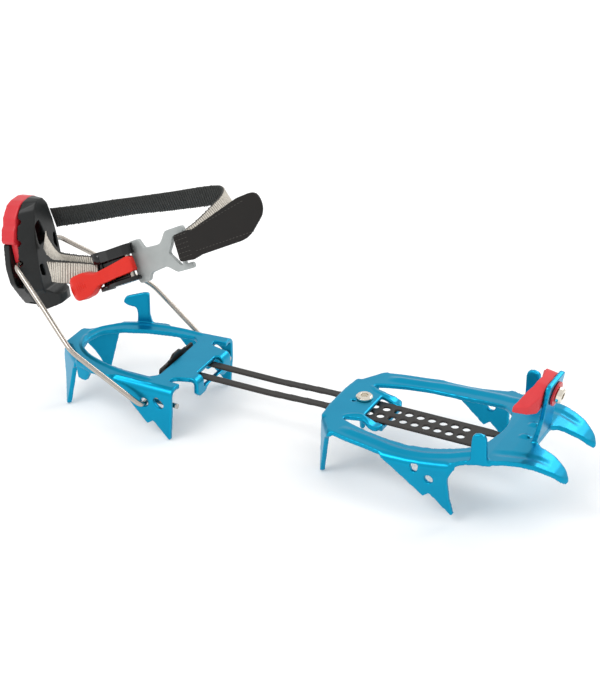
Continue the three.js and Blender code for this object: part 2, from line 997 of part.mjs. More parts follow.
function pullTab() {
  const outline = roundedShape([
    [51, -9.6, 2],
    [51, 6.8, 2],
    [61, 7.4, 2],
    [66, 6.6, 4],
    [104, 15.4, 16],
    [119.5, 16, 9],
    [121, 3, 12],
    [104, -9.5, 20],
    [68, -9.6, 10],
    [61, -10.8, 2],
  ]);
  return extrude(outline, 2.2, 6).translate(0, 0, 2.6);
}

// ---- buckle, in its own frame: X along the strap, Y across it, Z outward ----

function buckleBody() {
  const base = roundedShape([
    [-12, -11.5, 2],
    [-12, 11.5, 2],
    [12, 11.5, 2],
    [12, -11.5, 2],
  ]);
  const cheek = roundedShape([
    [-12, 0],
    [-12, 7, 3],
    [2, 9.5, 4],
    [18, 9.5, 5],
    [19, 2.4, 3],
    [12, 0],
  ]);
  let body = slab(base, 0, 2).add(sideSlab(cheek, 5, 11.5)).add(sideSlab(cheek, -11.5, -8.8));
  body = body.add(box(-12, -9, -9.5, 9.5, 1, 3.4));
  return body.subtract(bar('y', 1.5, 40, camPivot.along, 0, camPivot.out, 12));
}

function buckleLink() {
  const plate = roundedShape([
    [12.6, -14, 2],
    [12.6, 12.5, 2],
    [20.5, 12.5, 2],
    [23, 6, 3],
    [36, 5, 5],
    [42, 11.6, 3],
    [56, 11.6, 2],
    [56, 7.6, 1.5],
    [47, 7.2, 1.5],
    [44, 2, 2],
    [40.5, -2, 2],
    [44, -7, 2],
    [47, -11.4, 1.5],
    [56, -11.4, 1.5],
    [56, -15.2, 2],
    [43, -14.6, 3],
    [36, -9, 5],
    [23, -10, 3],
    [20.5, -14, 2],
  ]);
  const plane = slab(plate, -3.6, -0.4);
  const bridge = bar('y', 1.6, 19, 49.6, -2, -2);
  return plane.add(bridge);
}

function camPin() {
  return new THREE.CylinderGeometry(1.2, 1.2, 22.4, 12).translate(camPivot.along, 0, camPivot.out);
}

// The cam lever in its own frame: hinge along Y at the origin, arm towards -X.
function camLever() {
  const arm = roundedShape([
    [3.4, -5.2, 2],
    [3.4, 5.2, 2],
    [-10, 4.4, 4],
    [-24, 4, 4],
    [-31, 7.4, 6],
    [-42, 7.6, 7],
    [-46, -1, 6],
    [-42, -8.4, 7],
    [-31, -8, 6],
    [-24, -4, 4],
    [-10, -4.4, 4],
  ]);
  const side = roundedShape([
    [3.6, -2.6, 2],
    [3.6, 3.4, 2],
    [-20, 4.4, 4],
    [-30, 7.2, 5],
    [-40, 8.4, 5],
    [-46.5, 4.6, 4],
    [-42, -1.2, 4],
    [-28, -0.6, 4],
    [-12, -1.4, 3],
  ]);
  const lever = slab(arm, -10, 20).intersect(sideSlab(side, -20, 20));
  return lever.subtract(bar('y', 2, 30, 0, 0, 0));
}

// ---- assembly ----

const finishes = {
  blueAluminium: { color: 0x0a9cc8, metalness: 0.7, roughness: 0.35 },
  springSteel: { color: 0x3a3838, metalness: 0.8, roughness: 0.5 },
  stainless: { color: 0xb9afa6, metalness: 1, roughness: 0.25 },
  redPlastic: { color: 0xe9432f, metalness: 0, roughness: 0.45 },
  coralRubber: { color: 0xee5a5a, metalness: 0, roughness: 0.6 },
  blackPlastic: { color: 0x2e3334, metalness: 0, roughness: 0.4 },
  greyPlastic: { color: 0xa9adac, metalness: 0, roughness: 0.45 },
  blackWebbing: { color: 0x2c2f2e, metalness: 0, roughness: 0.9 },
  greyWebbing: { color: 0xc8c2b8, metalness: 0, roughness: 0.9 },
};

function place(group, name, shape, finish) {
  const geometry = shape.isBufferGeometry ? shape : geometryOf(shape);
  const mesh = new THREE.Mesh(geometry, new THREE.MeshStandardMaterial(finishes[finish]));
  mesh.name = name;
  group.add(mesh);
  return mesh;
}

const crampon = new THREE.Group();
crampon.position.x = -boxMiddle;

place(crampon, 'heel_frame', heelFrame(), 'blueAluminium');
place(crampon, 'toe_frame', toeFrame(), 'blueAluminium');
place(crampon, 'link_bar', linkBar(), 'springSteel');
place(crampon, 'bail_wire', bailWire(), 'stainless');
place(crampon, 'strap_far_run', strapFarRun(), 'blackWebbing');
place(crampon, 'strap_heel_run', strapHeelRun(), 'greyWebbing');

const lock = new THREE.Group();
lock.position.set(lockX, holeRow, 0);
crampon.add(lock);
place(lock, 'lock_screw', socketScrew(5.4, 2, 2, 14.5), 'stainless').position.z = toeTop + 0.3;
place(lock, 'lock_washer', washer(5, 2.3, 1.2), 'stainless').position.z = barTop - barThick - 1.6;
place(lock, 'lock_nut', hexNut(7, 2.2, 3.2), 'stainless').position.z = barTop - barThick - 5.2;

const toeStop = new THREE.Group();
toeStop.position.set(stopFoot.x, 0, stopFoot.z);
toeStop.rotation.y = degrees(stopLean);
crampon.add(toeStop);
place(toeStop, 'toe_bumper', toeBumper(), 'coralRubber');
const stopScrew = new THREE.Group();
stopScrew.position.z = stopScrewHeight;
stopScrew.rotation.y = Math.PI / 2;
toeStop.add(stopScrew);
place(stopScrew, 'stop_washer', washer(7.6, 2.7, 1.4), 'coralRubber').position.z = 0.3;
place(stopScrew, 'stop_screw', socketScrew(5, 3.2, 2.1, 13), 'stainless').position.z = 2.1;
place(stopScrew, 'stop_nut', hexNut(8, 2.3, 3.4), 'stainless').position.z = -10.6;

const lever = new THREE.Group();
lever.position.set(leverPivot.x, 0, leverPivot.z);
lever.rotation.y = degrees(leverLean);
crampon.add(lever);
place(lever, 'lever_body', leverBody(), 'blackPlastic');
place(lever, 'height_adjuster', heightAdjuster(), 'redPlastic');
place(lever, 'lever_cover', leverCover(), 'blackPlastic');
place(lever, 'lever_rivet_left', leverRivet(1), 'stainless');
place(lever, 'lever_rivet_right', leverRivet(-1), 'stainless');

const buckle = new THREE.Group();
const along = new THREE.Vector3(...buckleAlong).normalize();
const outward = new THREE.Vector3().crossVectors(along, new THREE.Vector3(...buckleAcross)).normalize();
const acrossWay = new THREE.Vector3().crossVectors(outward, along);
buckle.position.set(...buckleCentre);
buckle.setRotationFromMatrix(new THREE.Matrix4().makeBasis(along, acrossWay, outward));
crampon.add(buckle);
place(buckle, 'buckle_body', buckleBody(), 'blackPlastic');
place(buckle, 'buckle_link', buckleLink(), 'greyPlastic');
place(buckle, 'cam_pin', camPin(), 'stainless');
place(buckle, 'strap_tail_loop', strapTailLoop(), 'greyWebbing');
place(buckle, 'pull_tab', pullTab(), 'blackWebbing');
const camHinge = new THREE.Group();
camHinge.position.set(camPivot.along, -1, camPivot.out);
camHinge.rotation.set(0, degrees(camOpen), degrees(6));
buckle.add(camHinge);
place(camHinge, 'cam_lever', camLever(), 'redPlastic');

export default crampon;
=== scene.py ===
import math
import bpy
import bmesh
import numpy as np
from mathutils import Matrix, Vector


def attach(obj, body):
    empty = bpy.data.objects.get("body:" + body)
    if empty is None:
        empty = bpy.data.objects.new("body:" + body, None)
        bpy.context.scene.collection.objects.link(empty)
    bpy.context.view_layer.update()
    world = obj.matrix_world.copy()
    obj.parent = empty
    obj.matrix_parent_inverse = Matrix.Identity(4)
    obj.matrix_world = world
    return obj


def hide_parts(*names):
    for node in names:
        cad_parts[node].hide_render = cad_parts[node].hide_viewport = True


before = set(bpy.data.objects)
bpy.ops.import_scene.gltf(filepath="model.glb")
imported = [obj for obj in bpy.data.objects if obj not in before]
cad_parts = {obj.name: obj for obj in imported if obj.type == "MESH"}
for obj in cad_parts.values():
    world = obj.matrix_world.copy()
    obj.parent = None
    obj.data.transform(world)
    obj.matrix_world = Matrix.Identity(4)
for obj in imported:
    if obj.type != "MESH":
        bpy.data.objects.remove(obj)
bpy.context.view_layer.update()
mm = 0.001
heelEdge = 60.8  # mm from the heel frame's front edge to the middle of the crampon


def at(x, y, z):
    # a point given in mm, x counted from the heel frame's front edge
    return Vector((x - heelEdge, y, z)) * mm


# ---- camera, floor and light ----

studio = {
    "eye": (625.8, -1086.3, 736.4),
    "tilt": 61.12,
    "turn": 27.07,
    "lens": 116.86,
    "sensor": 36,
    "clip": (0.05, 50),
    "floor": 6.0,
    "floorDrop": 0.0004,
    "floorTone": "#fdfdfd",
    "floorRough": 0.9,
    "sky": 0.97,
    "lamps": {
        "keyLight": {"place": (-0.5, -0.9, 1.3), "size": (0.7, 0.5), "power": 7},
        "backLight": {"place": (0.5, 1.2, 1.0), "size": (1.2, 0.3), "power": 6},
    },
    "lampTarget": (0, 0, 0.05),
}


def linear(code, alpha=1.0):
    # an sRGB hex colour as linear light
    parts = [int(code[i:i + 2], 16) / 255 for i in (1, 3, 5)]
    made = [p / 12.92 if p <= 0.04045 else ((p + 0.055) / 1.055) ** 2.4 for p in parts]
    return (*made, alpha)


def addNode(tree, kind, settings=None, links=None):
    node = tree.nodes.new(kind)
    for name, value in (settings or {}).items():
        if isinstance(name, int) or name in node.inputs:
            node.inputs[name].default_value = value
        else:
            setattr(node, name, value)
    for name, source in (links or {}).items():
        tree.links.new(source, node.inputs[name])
    return node


def placeCamera():
    camera = bpy.data.objects.new("camera", bpy.data.cameras.new("camera"))
    bpy.context.scene.collection.objects.link(camera)
    camera.location = at(*studio["eye"])
    camera.rotation_euler = (math.radians(studio["tilt"]), 0, math.radians(studio["turn"]))
    camera.data.sensor_width = studio["sensor"]
    camera.data.lens = studio["lens"]
    camera.data.clip_start, camera.data.clip_end = studio["clip"]
    bpy.context.scene.camera = camera


def layFloor():
    mesh = bpy.data.meshes.new("floor")
    half, drop = studio["floor"] / 2, -studio["floorDrop"]
    corners = [(-half, -half, drop), (half, -half, drop), (half, half, drop), (-half, half, drop)]
    mesh.from_pydata(corners, [], [(0, 1, 2, 3)])
    floor = bpy.data.objects.new("floor", mesh)
    bpy.context.scene.collection.objects.link(floor)
    material = bpy.data.materials.new("paintedStudioFloor")
    material.use_nodes = True
    shader = material.node_tree.nodes["Principled BSDF"]
    shader.inputs["Base Color"].default_value = linear(studio["floorTone"])
    shader.inputs["Roughness"].default_value = studio["floorRough"]
    mesh.materials.append(material)


def addLamp(name, place, size, power):
    lamp = bpy.data.objects.new(name, bpy.data.lights.new(name, "AREA"))
    bpy.context.scene.collection.objects.link(lamp)
    lamp.location = place
    aim = Vector(studio["lampTarget"]) - Vector(place)
    lamp.rotation_euler = aim.to_track_quat("-Z", "Y").to_euler()
    lamp.data.shape = "RECTANGLE"
    lamp.data.size, lamp.data.size_y = size
    lamp.data.energy = power


def lightStudio():
    world = bpy.data.worlds.new("studio")
    bpy.context.scene.world = world
    world.use_nodes = True
    sky = world.node_tree.nodes["Background"]
    sky.inputs["Color"].default_value = (1, 1, 1, 1)
    sky.inputs["Strength"].default_value = studio["sky"]
    for name, lamp in studio["lamps"].items():
        addLamp(name, **lamp)
    bpy.context.scene.view_settings.view_transform = "Standard"


placeCamera()
layFloor()
lightStudio()
print("studio ready")


# ---- materials ----


def newMaterial(name):
    material = bpy.data.materials.new(name)
    material.use_nodes = True
    tree = material.node_tree
    return material, tree, tree.nodes["Principled BSDF"]


def objectPoints(tree):
    return addNode(tree, "ShaderNodeTexCoord").outputs["Object"]


def shaded(tree, shader, pattern, dark, light):
    # a pattern between 0 and 1 picks a tone between two colours
    ramp = addNode(tree, "ShaderNodeValToRGB", {}, {"Fac": pattern})
    ramp.color_ramp.elements[0].color = linear(dark)
    ramp.color_ramp.elements[1].color = linear(light)
    tree.links.new(ramp.outputs["Color"], shader.inputs["Base Color"])
    return ramp


def bumped(tree, shader, height, strength, distance):
    bump = addNode(tree, "ShaderNodeBump", {"Strength": strength, "Distance": distance}, {"Height": height})
    tree.links.new(bump.outputs["Normal"], shader.inputs["Normal"])


def roughened(tree, shader, pattern, low, high):
    spread = addNode(tree, "ShaderNodeMapRange", {"To Min": low, "To Max": high}, {"Value": pattern})
    tree.links.new(spread.outputs["Result"], shader.inputs["Roughness"])


def noise(tree, points, scale, detail):
    return addNode(tree, "ShaderNodeTexNoise", {"Scale": scale, "Detail": detail}, {"Vector": points})


sheetFinish = {
    "cloud": 60,
    "cloudShare": 0.35,
    "grain": 1400,
    "edge": (0.52, 0.62),
    "edgeShare": 0.8,
    "rough": (0.26, 0.38),
    "bump": (0.1, 0.00005),
    "metallic": 0.85,
}
rolledFinish = {"across": 1600, "along": 40, "bump": (0.1, 0.00004)}
brightFinish = {"cloud": 260}
plasticFinish = {"cloud": 120, "bump": (0.25, 0.00006)}
yarnFinish = {
    "yarn": 1500,
    "yarnShare": 0.5,
    "fuzz": 700,
    "stops": (0.35, 0.85),
    "rough": (0.75, 0.95),
    "bump": (0.5, 0.0001),
    "sheen": 0.12,
}


def anodisedAluminium(name, dark, light):
    # bead-blasted, dyed and sealed sheet: an even satin blue, a little paler where edges wear
    material, tree, shader = newMaterial(name)
    points = objectPoints(tree)
    cloud = noise(tree, points, sheetFinish["cloud"], 3)
    grain = noise(tree, points, sheetFinish["grain"], 2)
    edge = addNode(tree, "ShaderNodeNewGeometry").outputs["Pointiness"]
    start, end = sheetFinish["edge"]
    span = {"From Min": start, "From Max": end, "To Min": 0.0, "To Max": sheetFinish["edgeShare"]}
    worn = addNode(tree, "ShaderNodeMapRange", span, {"Value": edge})
    both = addNode(tree, "ShaderNodeMath", {"operation": "MULTIPLY_ADD", 1: sheetFinish["cloudShare"]},
                   {0: cloud.outputs["Fac"], 2: worn.outputs["Result"]})
    shaded(tree, shader, both.outputs["Value"], dark, light)
    roughened(tree, shader, grain.outputs["Fac"], *sheetFinish["rough"])
    bumped(tree, shader, grain.outputs["Fac"], *sheetFinish["bump"])
    shader.inputs["Metallic"].default_value = sheetFinish["metallic"]
    return material


def rolledSteel(name, dark, light, metallic, low, high):
    # rolled steel: fine lines along the length
    material, tree, shader = newMaterial(name)
    along, across = rolledFinish["along"], rolledFinish["across"]
    stretch = addNode(tree, "ShaderNodeMapping", {"Scale": (along, across, across)},
                      {"Vector": objectPoints(tree)})
    lines = noise(tree, stretch.outputs["Vector"], 1.0, 3)
    shaded(tree, shader, lines.outputs["Fac"], dark, light)
    roughened(tree, shader, lines.outputs["Fac"], low, high)
    bumped(tree, shader, lines.outputs["Fac"], *rolledFinish["bump"])
    shader.inputs["Metallic"].default_value = metallic
    return material


def brightSteel(name, dark, light, low, high):
    # drawn or plated steel, polished: an even tone with faint clouding
    material, tree, shader = newMaterial(name)
    cloud = noise(tree, objectPoints(tree), brightFinish["cloud"], 2)
    shaded(tree, shader, cloud.outputs["Fac"], dark, light)
    roughened(tree, shader, cloud.outputs["Fac"], low, high)
    shader.inputs["Metallic"].default_value = 1.0
    return material


def mouldedPlastic(name, dark, light, low, high, grainSize, shine=0.5):
    # injection moulded plastic: spark-eroded grain, sized in mm, and a slightly uneven gloss
    material, tree, shader = newMaterial(name)
    points = objectPoints(tree)
    grain = noise(tree, points, 1 / (grainSize * mm), 2)
    cloud = noise(tree, points, plasticFinish["cloud"], 2)
    shaded(tree, shader, cloud.outputs["Fac"], dark, light)
    roughened(tree, shader, cloud.outputs["Fac"], low, high)
    bumped(tree, shader, grain.outputs["Fac"], *plasticFinish["bump"])
    shader.inputs["Specular IOR Level"].default_value = shine
    return material


def wovenThread(name, dark, light):
    # spun polyester yarn: a soft uneven fibre pattern with a little sheen
    material, tree, shader = newMaterial(name)
    points = objectPoints(tree)
    yarn = addNode(tree, "ShaderNodeTexVoronoi", {"Scale": yarnFinish["yarn"]}, {"Vector": points})
    fuzz = noise(tree, points, yarnFinish["fuzz"], 4)
    tone = addNode(tree, "ShaderNodeMath", {"operation": "MULTIPLY_ADD", 1: yarnFinish["yarnShare"]},
                   {0: yarn.outputs["Distance"], 2: fuzz.outputs["Fac"]})
    ramp = shaded(tree, shader, tone.outputs["Value"], dark, light)
    for element, stop in zip(ramp.color_ramp.elements, yarnFinish["stops"]):
        element.position = stop
    roughened(tree, shader, fuzz.outputs["Fac"], *yarnFinish["rough"])
    bumped(tree, shader, tone.outputs["Value"], *yarnFinish["bump"])
    shader.inputs["Sheen Weight"].default_value = yarnFinish["sheen"]
    return material


blueSheet = anodisedAluminium("anodisedAluminiumBlue", "#0089b0", "#0cabcf")
springSteel = rolledSteel("blackenedSpringSteel", "#1d1b1a", "#3a3734", 0.5, 0.36, 0.5)
drawnWire = brightSteel("drawnStainlessWire", "#a8a199", "#bdb6ad", 0.2, 0.28)
plating = brightSteel("zincPlatedScrew", "#cfc8bb", "#e9e3d6", 0.14, 0.22)
blackNylon = mouldedPlastic("glassFilledNylonBlack", "#0c0f0f", "#171a1a", 0.28, 0.4, 0.35, 0.35)
glossyNylon = mouldedPlastic("polishedNylonBlack", "#090a0b", "#121415", 0.12, 0.2, 0.5, 0.4)
redNylon = mouldedPlastic("mouldedNylonRed", "#c3190d", "#d62716", 0.36, 0.48, 0.35, 0.35)
crimsonNylon = mouldedPlastic("mouldedNylonCrimson", "#bd1c28", "#d42c34", 0.32, 0.44, 0.35)
greyAcetal = mouldedPlastic("mouldedAcetalGrey", "#8f9594", "#a9adac", 0.34, 0.46, 0.35)
coralRubber = mouldedPlastic("mouldedRubberCoral", "#c92f35", "#da3d41", 0.5, 0.65, 0.5, 0.35)
blackYarn = wovenThread("polyesterYarnBlack", "#0f100f", "#343634")
# the two cores are the same yarns painted darker than the ribs: painted shade in the grooves between the weft
# ribs
blackCorePaintedShade = wovenThread("polyesterCoreBlackPaintedShade", "#070807", "#141514")
greyYarn = wovenThread("polyesterYarnGrey", "#9f988c", "#d2ccc1")
greyCorePaintedShade = wovenThread("polyesterCoreGreyPaintedShade", "#3a3732", "#55504a")
threadBlack = wovenThread("bondedThreadBlack", "#24221f", "#3b3833")
blackTape = mouldedPlastic("coatedTapeBlack", "#110f0d", "#1b1816", 0.5, 0.65, 0.6, 0.25)
print("materials ready")


# ---- making pieces ----


weldGap = 2e-6  # metres between corners that are the same point
smoothing = 0.5


def newPiece(name, mesh, body, slot, *nodes):
    piece = bpy.data.objects.new(name, mesh)
    bpy.context.scene.collection.objects.link(piece)
    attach(piece, body)
    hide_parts(*nodes)


def mergedCopy(node):
    # a CAD node's mesh comes as loose triangles
    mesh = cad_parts[node].data.copy()
    work = bmesh.new()
    work.from_mesh(mesh)
    bmesh.ops.remove_doubles(work, verts=work.verts, dist=weldGap)
    work.to_mesh(mesh)
    work.free()
    return mesh


def baked(piece):
    # the piece's modifiers worked into a plain mesh, and the helper object dropped
    bpy.context.view_layer.update()
    mesh = bpy.data.meshes.new_from_object(piece.evaluated_get(bpy.context.evaluated_depsgraph_get()))
    bpy.data.objects.remove(piece)
    return mesh


def moulded(node, look, material):
    # the node's shape with its sharp corners worn round
    piece = bpy.data.objects.new(node + "Blank", mergedCopy(node))
    bpy.context.scene.collection.objects.link(piece)
    remesh = piece.modifiers.new("remesh", "REMESH")
    remesh.mode = "VOXEL"
    remesh.voxel_size = look["voxel"] * mm
    smooth = piece.modifiers.new("smooth", "SMOOTH")
    smooth.factor = smoothing
    smooth.iterations = look["rounds"]
    mesh = baked(piece)
    mesh.name = node + "Mesh"
    mesh.materials.clear()
    mesh.materials.append(material)
    mesh.polygons.foreach_set("use_smooth", [True] * len(mesh.polygons))
    print(node, len(mesh.polygons), "faces")
    return mesh


def pointsOf(mesh):
    co = np.zeros(len(mesh.vertices) * 3)
    mesh.vertices.foreach_get("co", co)
    return co.reshape(-1, 3) / mm


def normalsOf(mesh):
    co = np.zeros(len(mesh.vertices) * 3)
    mesh.vertices.foreach_get("normal", co)
    return co.reshape(-1, 3)


def setPoints(mesh, points):
    mesh.vertices.foreach_set("co", (points * mm).ravel())
    mesh.update()


def smoothPath(points, step):
    # an even, rounded path through the given points, as a Catmull-Rom curve
    cuts = 24
    points = [np.array(p, float) for p in points]
    ends = [2 * points[0] - points[1], *points, 2 * points[-1] - points[-2]]
    dense = []
    for i in range(1, len(ends) - 2):
        a, b, c, d = ends[i - 1:i + 3]
        for t in np.linspace(0, 1, cuts, endpoint=False):
            dense.append(0.5 * (2 * b + (c - a) * t + (2 * a - 5 * b + 4 * c - d) * t * t
                                + (3 * b - a - 3 * c + d) * t ** 3))
    dense.append(points[-1])
    dense = np.array(dense)
    gone = np.concatenate([[0], np.cumsum(np.linalg.norm(np.diff(dense, axis=0), axis=1))])
    marks = np.linspace(0, gone[-1], max(2, int(round(gone[-1] / step)) + 1))
    return np.stack([np.interp(marks, gone, dense[:, k]) for k in range(dense.shape[1])], axis=1)


def planDistance(points, path):
    # distance in plan from each point to the path, and how far along it lies, from 0 to 1
    best = np.full(len(points), 1e9)
    share = np.zeros(len(points))
    for i in range(len(path) - 1):
        a, b = path[i], path[i + 1]
        t = np.clip(((points[:, :2] - a) @ (b - a)) / ((b - a) @ (b - a)), 0, 1)
        d = np.linalg.norm(points[:, :2] - (a + t[:, None] * (b - a)), axis=1)
        near = d < best
        best[near] = d[near]
        share[near] = (i + t[near]) / (len(path) - 1)
    return best, share


pressing = {"step": 1.5, "steepest": 0.3, "fadeIn": 0.4}


def pressBead(mesh, path, halfWidth, height, fade):
    # a rounded bead, or a groove where height is negative, pressed into the upper face
    points, normals = pointsOf(mesh), normalsOf(mesh)
    even = smoothPath(path, pressing["step"])
    plan = points.copy()
    plan[:, 0] += heelEdge
    distance, share = planDistance(plan, even)
    profile = np.where(distance < halfWidth, 0.5 + 0.5 * np.cos(np.pi * distance / halfWidth), 0)
    ends = np.clip(np.minimum(share, 1 - share) / fade, 0, 1) if fade else 1
    facing = np.clip((normals[:, 2] - pressing["steepest"]) / pressing["fadeIn"], 0, 1)
    points[:, 2] += height * profile * ends * facing
    setPoints(mesh, points)


def mirrorPath(path):
    return [(x, -y) for x, y in path]


def pressBeads(mesh, beads):
    # every bead on the far side, then on the near side
    for side in (list, mirrorPath):
        for bead in beads:
            pressBead(mesh, side(bead["path"]), bead["half"], bead["height"], bead["fade"])


def joinedMesh(name, meshes):
    # several meshes in one, each face keeping its material
    work = bmesh.new()
    materials = []
    for mesh in meshes:
        first = len(work.faces)
        work.from_mesh(mesh)
        work.faces.ensure_lookup_table()
        for face in work.faces[first:]:
            material = mesh.materials[face.material_index]
            if material not in materials:
                materials.append(material)
            face.material_index = materials.index(material)
    made = bpy.data.meshes.new(name)
    work.to_mesh(made)
    work.free()
    for material in materials:
        made.materials.append(material)
    return made


# ---- repeated small parts, in Geometry Nodes ----


def repeatTree(name, kind, detail):
    # one small body set on every point of a guide, turned and lengthened by the guide's own values
    tree = bpy.data.node_groups.new(name, "GeometryNodeTree")
    face = tree.interface
    face.new_socket("Guide", in_out="INPUT", socket_type="NodeSocketGeometry")
    face.new_socket("Size", in_out="INPUT", socket_type="NodeSocketVector")
    face.new_socket("Spread", in_out="INPUT", socket_type="NodeSocketFloat")
    face.new_socket("Seed", in_out="INPUT", socket_type="NodeSocketInt")
    face.new_socket("Material", in_out="INPUT", socket_type="NodeSocketMaterial")
    face.new_socket("Body", in_out="OUTPUT", socket_type="NodeSocketGeometry")
    given = addNode(tree, "NodeGroupInput").outputs
    unit = addNode(tree, kind, detail).outputs["Mesh"]
    turn = addNode(tree, "GeometryNodeInputNamedAttribute", {"data_type": "FLOAT_VECTOR", "Name": "turn"})
    turned = addNode(tree, "FunctionNodeEulerToRotation", {}, {"Euler": turn.outputs["Attribute"]})
    reach = addNode(tree, "GeometryNodeInputNamedAttribute", {"data_type": "FLOAT", "Name": "reach"})
    longer = addNode(tree, "ShaderNodeCombineXYZ", {"X": 1.0, "Y": 1.0}, {"Z": reach.outputs["Attribute"]})
    size = addNode(tree, "ShaderNodeVectorMath", {"operation": "MULTIPLY"},
                   {0: given["Size"], 1: longer.outputs[0]})
    low = addNode(tree, "ShaderNodeMath", {"operation": "SUBTRACT", 0: 1.0}, {1: given["Spread"]})
    high = addNode(tree, "ShaderNodeMath", {"operation": "ADD", 0: 1.0}, {1: given["Spread"]})
    chance = addNode(tree, "FunctionNodeRandomValue", {"data_type": "FLOAT"}, {"Seed": given["Seed"]})
    tree.links.new(low.outputs[0], chance.inputs[2])
    tree.links.new(high.outputs[0], chance.inputs[3])
    varied = addNode(tree, "ShaderNodeVectorMath", {"operation": "SCALE"},
                     {0: size.outputs[0], "Scale": chance.outputs[1]})
    spread = addNode(tree, "GeometryNodeInstanceOnPoints", {},
                     {"Points": given["Guide"], "Instance": unit, "Rotation": turned.outputs[0],
                      "Scale": varied.outputs[0]})
    whole = addNode(tree, "GeometryNodeRealizeInstances", {}, {0: spread.outputs[0]})
    painted = addNode(tree, "GeometryNodeSetMaterial", {},
                      {"Geometry": whole.outputs[0], "Material": given["Material"]})
    addNode(tree, "NodeGroupOutput", {}, {"Body": painted.outputs[0]})
    return tree


ribUnit = {"Vertices": 10, "Radius": 1.0, "Depth": 2.0}
stitchUnit = {"Segments": 10, "Rings": 7, "Radius": 1.0}
ribTree = repeatTree("wovenRibs", "GeometryNodeMeshCylinder", ribUnit)
stitchTree = repeatTree("threadStitches", "GeometryNodeMeshUVSphere", stitchUnit)


def repeated(name, tree, spots, settings, material):
    # spots are (place in mm, three axes, reach); the size is given in mm
    guide = bpy.data.meshes.new(name + "Guide")
    guide.from_pydata([Vector(spot[0]) * mm for spot in spots], [], [])
    turns = guide.attributes.new("turn", "FLOAT_VECTOR", "POINT")
    for i, (_, axes, _) in enumerate(spots):
        turns.data[i].vector = Matrix([Vector(axis) for axis in axes]).transposed().to_euler()
    reaches = guide.attributes.new("reach", "FLOAT", "POINT")
    for i, spot in enumerate(spots):
        reaches.data[i].value = spot[2]
    holder = bpy.data.objects.new(name, guide)
    bpy.context.scene.collection.objects.link(holder)
    modifier = holder.modifiers.new(name, "NODES")
    modifier.node_group = tree
    named = {item.name: item.identifier for item in tree.interface.items_tree if item.in_out == "INPUT"}
    modifier[named["Size"]] = [value * mm for value in settings["size"]]
    modifier[named["Spread"]] = settings["spread"]
    modifier[named["Seed"]] = settings["seed"]
    modifier[named["Material"]] = material
    mesh = baked(holder)
    mesh.polygons.foreach_set("use_smooth", [len(face.vertices) <= 4 for face in mesh.polygons])
    return mesh


# ---- heel and toe frames ----

heelLook = {
    "voxel": 0.6,
    "rounds": 3,
    "beads": [
        {"path": [(-16, 33), (-30, 33.2), (-44, 31.6), (-58, 28), (-70, 22.5), (-79, 14), (-83, 5),
                  (-83.4, -1)],
         "half": 2.2, "height": 0.8, "fade": 0.05},
    ],
}

toeLook = {
    "voxel": 0.66,
    "rounds": 3,
    "beads": [
        # along the rail, down the front point, round the tongue's root, and the crossbar's dimple
        {"path": [(115, 33.2), (122, 35), (130, 36.4), (142, 38.6), (154, 41), (171, 41.3), (188, 38.6),
                  (199, 35), (208, 33.2)],
         "half": 4.2, "height": 1.3, "fade": 0.08},
        {"path": [(212, 31.6), (222, 30.2), (232, 28), (240, 26), (247, 24.6)],
         "half": 4.2, "height": -0.7, "fade": 0.2},
        {"path": [(110, 21), (115, 16.4), (121, 14.6), (127, 17)], "half": 1.6, "height": 0.6, "fade": 0.15},
        {"path": [(222.2, 7.4), (224.4, 7.4)], "half": 3.4, "height": 1.3, "fade": 0},
    ],
}


def heelFrame():
    mesh = moulded("heel_frame", heelLook, blueSheet)
    pressBeads(mesh, heelLook["beads"])
    newPiece("heelFrame", mesh, "heel", "heel_plate_blue", "heel_frame")


def toeFrame():
    mesh = moulded("toe_frame", toeLook, blueSheet)
    pressBeads(mesh, toeLook["beads"])
    newPiece("toeFrame", mesh, "toe", "toe_plate_blue", "toe_frame")


heelFrame()
toeFrame()
print("frames ready")

# ---- link bar ----

linkLook = {"voxel": 0.42, "rounds": 2}
newPiece("linkBar", moulded("link_bar", linkLook, springSteel), "link", "spring_steel", "link_bar")


# ---- bail wire ----

wireLook = {
    "radius": 1.65,
    "sides": 20,
    "step": 1.6,
    "half": [(2.4, 34.2, 22.2), (-6, 34.2, 22.4), (-14.5, 34.3, 22.4), (-17.9, 35.4, 22.4), (-18.3, 38, 22.4),
             (-18.3, 41.5, 22.5), (-19.4, 43.6, 23.2), (-24, 44.9, 26.3), (-42, 47.6, 38.3), (-58, 49.8, 49),
             (-64, 50, 53), (-70, 47.9, 56.9), (-92, 37.6, 71), (-112.5, 28, 83.6), (-117.6, 25.4, 86.6),
             (-119.7, 21.5, 87.6), (-119.7, 14, 87.6)],
}


def sweptTube(name, path, radius, sides, material):
    # a round bar along the path, closed at both ends
    mesh = bpy.data.meshes.new(name)
    rings = []
    normal = Vector((0, 0, 1))
    for i, point in enumerate(path):
        ahead = Vector(path[min(i + 1, len(path) - 1)]) - Vector(path[max(i - 1, 0)])
        ahead.normalize()
        normal = (normal - ahead * normal.dot(ahead)).normalized()
        other = ahead.cross(normal)
        for k in range(sides):
            angle = math.tau * k / sides
            over, beside = radius * math.cos(angle), radius * math.sin(angle)
            rings.append(Vector(point) + normal * over + other * beside)
    faces = []
    for i in range(len(path) - 1):
        for k in range(sides):
            m = (k + 1) % sides
            faces.append((i * sides + k, i * sides + m, (i + 1) * sides + m, (i + 1) * sides + k))
    faces.append(tuple(range(sides))[::-1])
    faces.append(tuple((len(path) - 1) * sides + k for k in range(sides)))
    mesh.from_pydata([v * mm for v in rings], [], faces)
    mesh.materials.append(material)
    mesh.polygons.foreach_set("use_smooth", [len(f) == 4 for f in faces])
    fixNormals(mesh)
    return mesh


def fixNormals(mesh):
    work = bmesh.new()
    work.from_mesh(mesh)
    bmesh.ops.recalc_face_normals(work, faces=work.faces)
    work.to_mesh(mesh)
    work.free()


